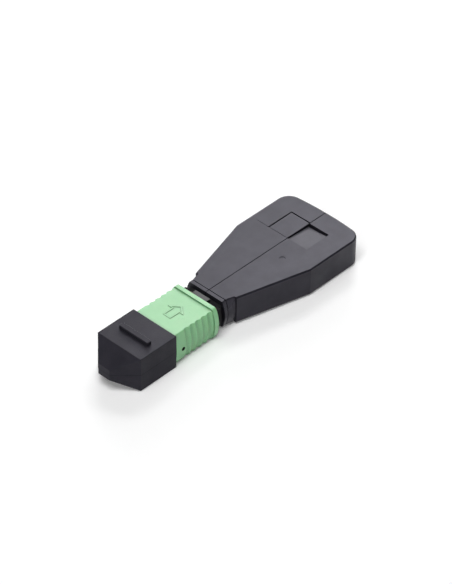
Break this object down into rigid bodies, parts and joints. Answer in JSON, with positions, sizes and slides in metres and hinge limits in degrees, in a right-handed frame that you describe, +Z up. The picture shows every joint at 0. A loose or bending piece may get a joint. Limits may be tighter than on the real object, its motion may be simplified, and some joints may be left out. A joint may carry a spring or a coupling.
{
  "type": "mpo fibre loopback plug",
  "caption": "Multi-fibre push-on loopback plug: green ribbed pull sleeve, black dust cap, and a flat tapered two-part housing holding the looped fibres.",
  "frame": {"origin": "middle of the bounding box in plan, level with the dust cap's underside", "axes": "+X along the plug's axis towards the dust cap's nose, +Z up, away from the face it lies on"},
  "size_m": [0.07, 0.0224, 0.0095],
  "materials": {
    "cap_plastic": "finely textured black",
    "sleeve_green": "satin light green",
    "plug_black": "satin black",
    "push_black": "satin black",
    "housing_black": "finely textured black",
    "ferrule_grey": "ground filled polymer",
    "keeper_grey": "moulded",
    "boot_rubber": "soft",
    "spring_steel": "drawn wire",
    "fibre_coating": "clear acrylate over glass"
  },
  "bodies": {
    "module": {"inner_housing": "plug_black", "spring_push": "push_black", "sleeve_spring_left": "spring_steel", "sleeve_spring_right": "spring_steel", "ferrule_spring": "spring_steel", "housing_shell_left": "housing_black", "housing_shell_right": "housing_black", "fibre_loop_1": "fibre_coating", "fibre_loop_2": "fibre_coating", "fibre_loop_3": "fibre_coating", "fibre_loop_4": "fibre_coating", "fibre_loop_5": "fibre_coating", "fibre_loop_6": "fibre_coating"},
    "sleeve": {"pull_sleeve": "sleeve_green"},
    "ferrule": {"mt_ferrule": "ferrule_grey", "pin_keeper": "keeper_grey", "ferrule_boot": "boot_rubber"},
    "cap": {"dust_cap": "cap_plastic"}
  },
  "joints": [
    {"name": "sleeve_pull", "type": "slide", "parent": "module", "child": "sleeve", "axis": [-1, 0, 0], "range_m": [0, 0.002], "stiffness_N_per_m": 1000, "springref_m": -0.002, "deforming": ["sleeve_spring_left", "sleeve_spring_right"]},
    {"name": "ferrule_float", "type": "slide", "parent": "module", "child": "ferrule", "axis": [-1, 0, 0], "range_m": [0, 0.0006], "stiffness_N_per_m": 8000, "springref_m": -0.0006, "deforming": ["ferrule_spring", "fibre_loop_1", "fibre_loop_2", "fibre_loop_3", "fibre_loop_4", "fibre_loop_5", "fibre_loop_6"]},
    {"name": "cap_pull", "type": "slide", "parent": "module", "child": "cap", "axis": [1, 0, 0], "range_m": [0, 0.02]}
  ]
}
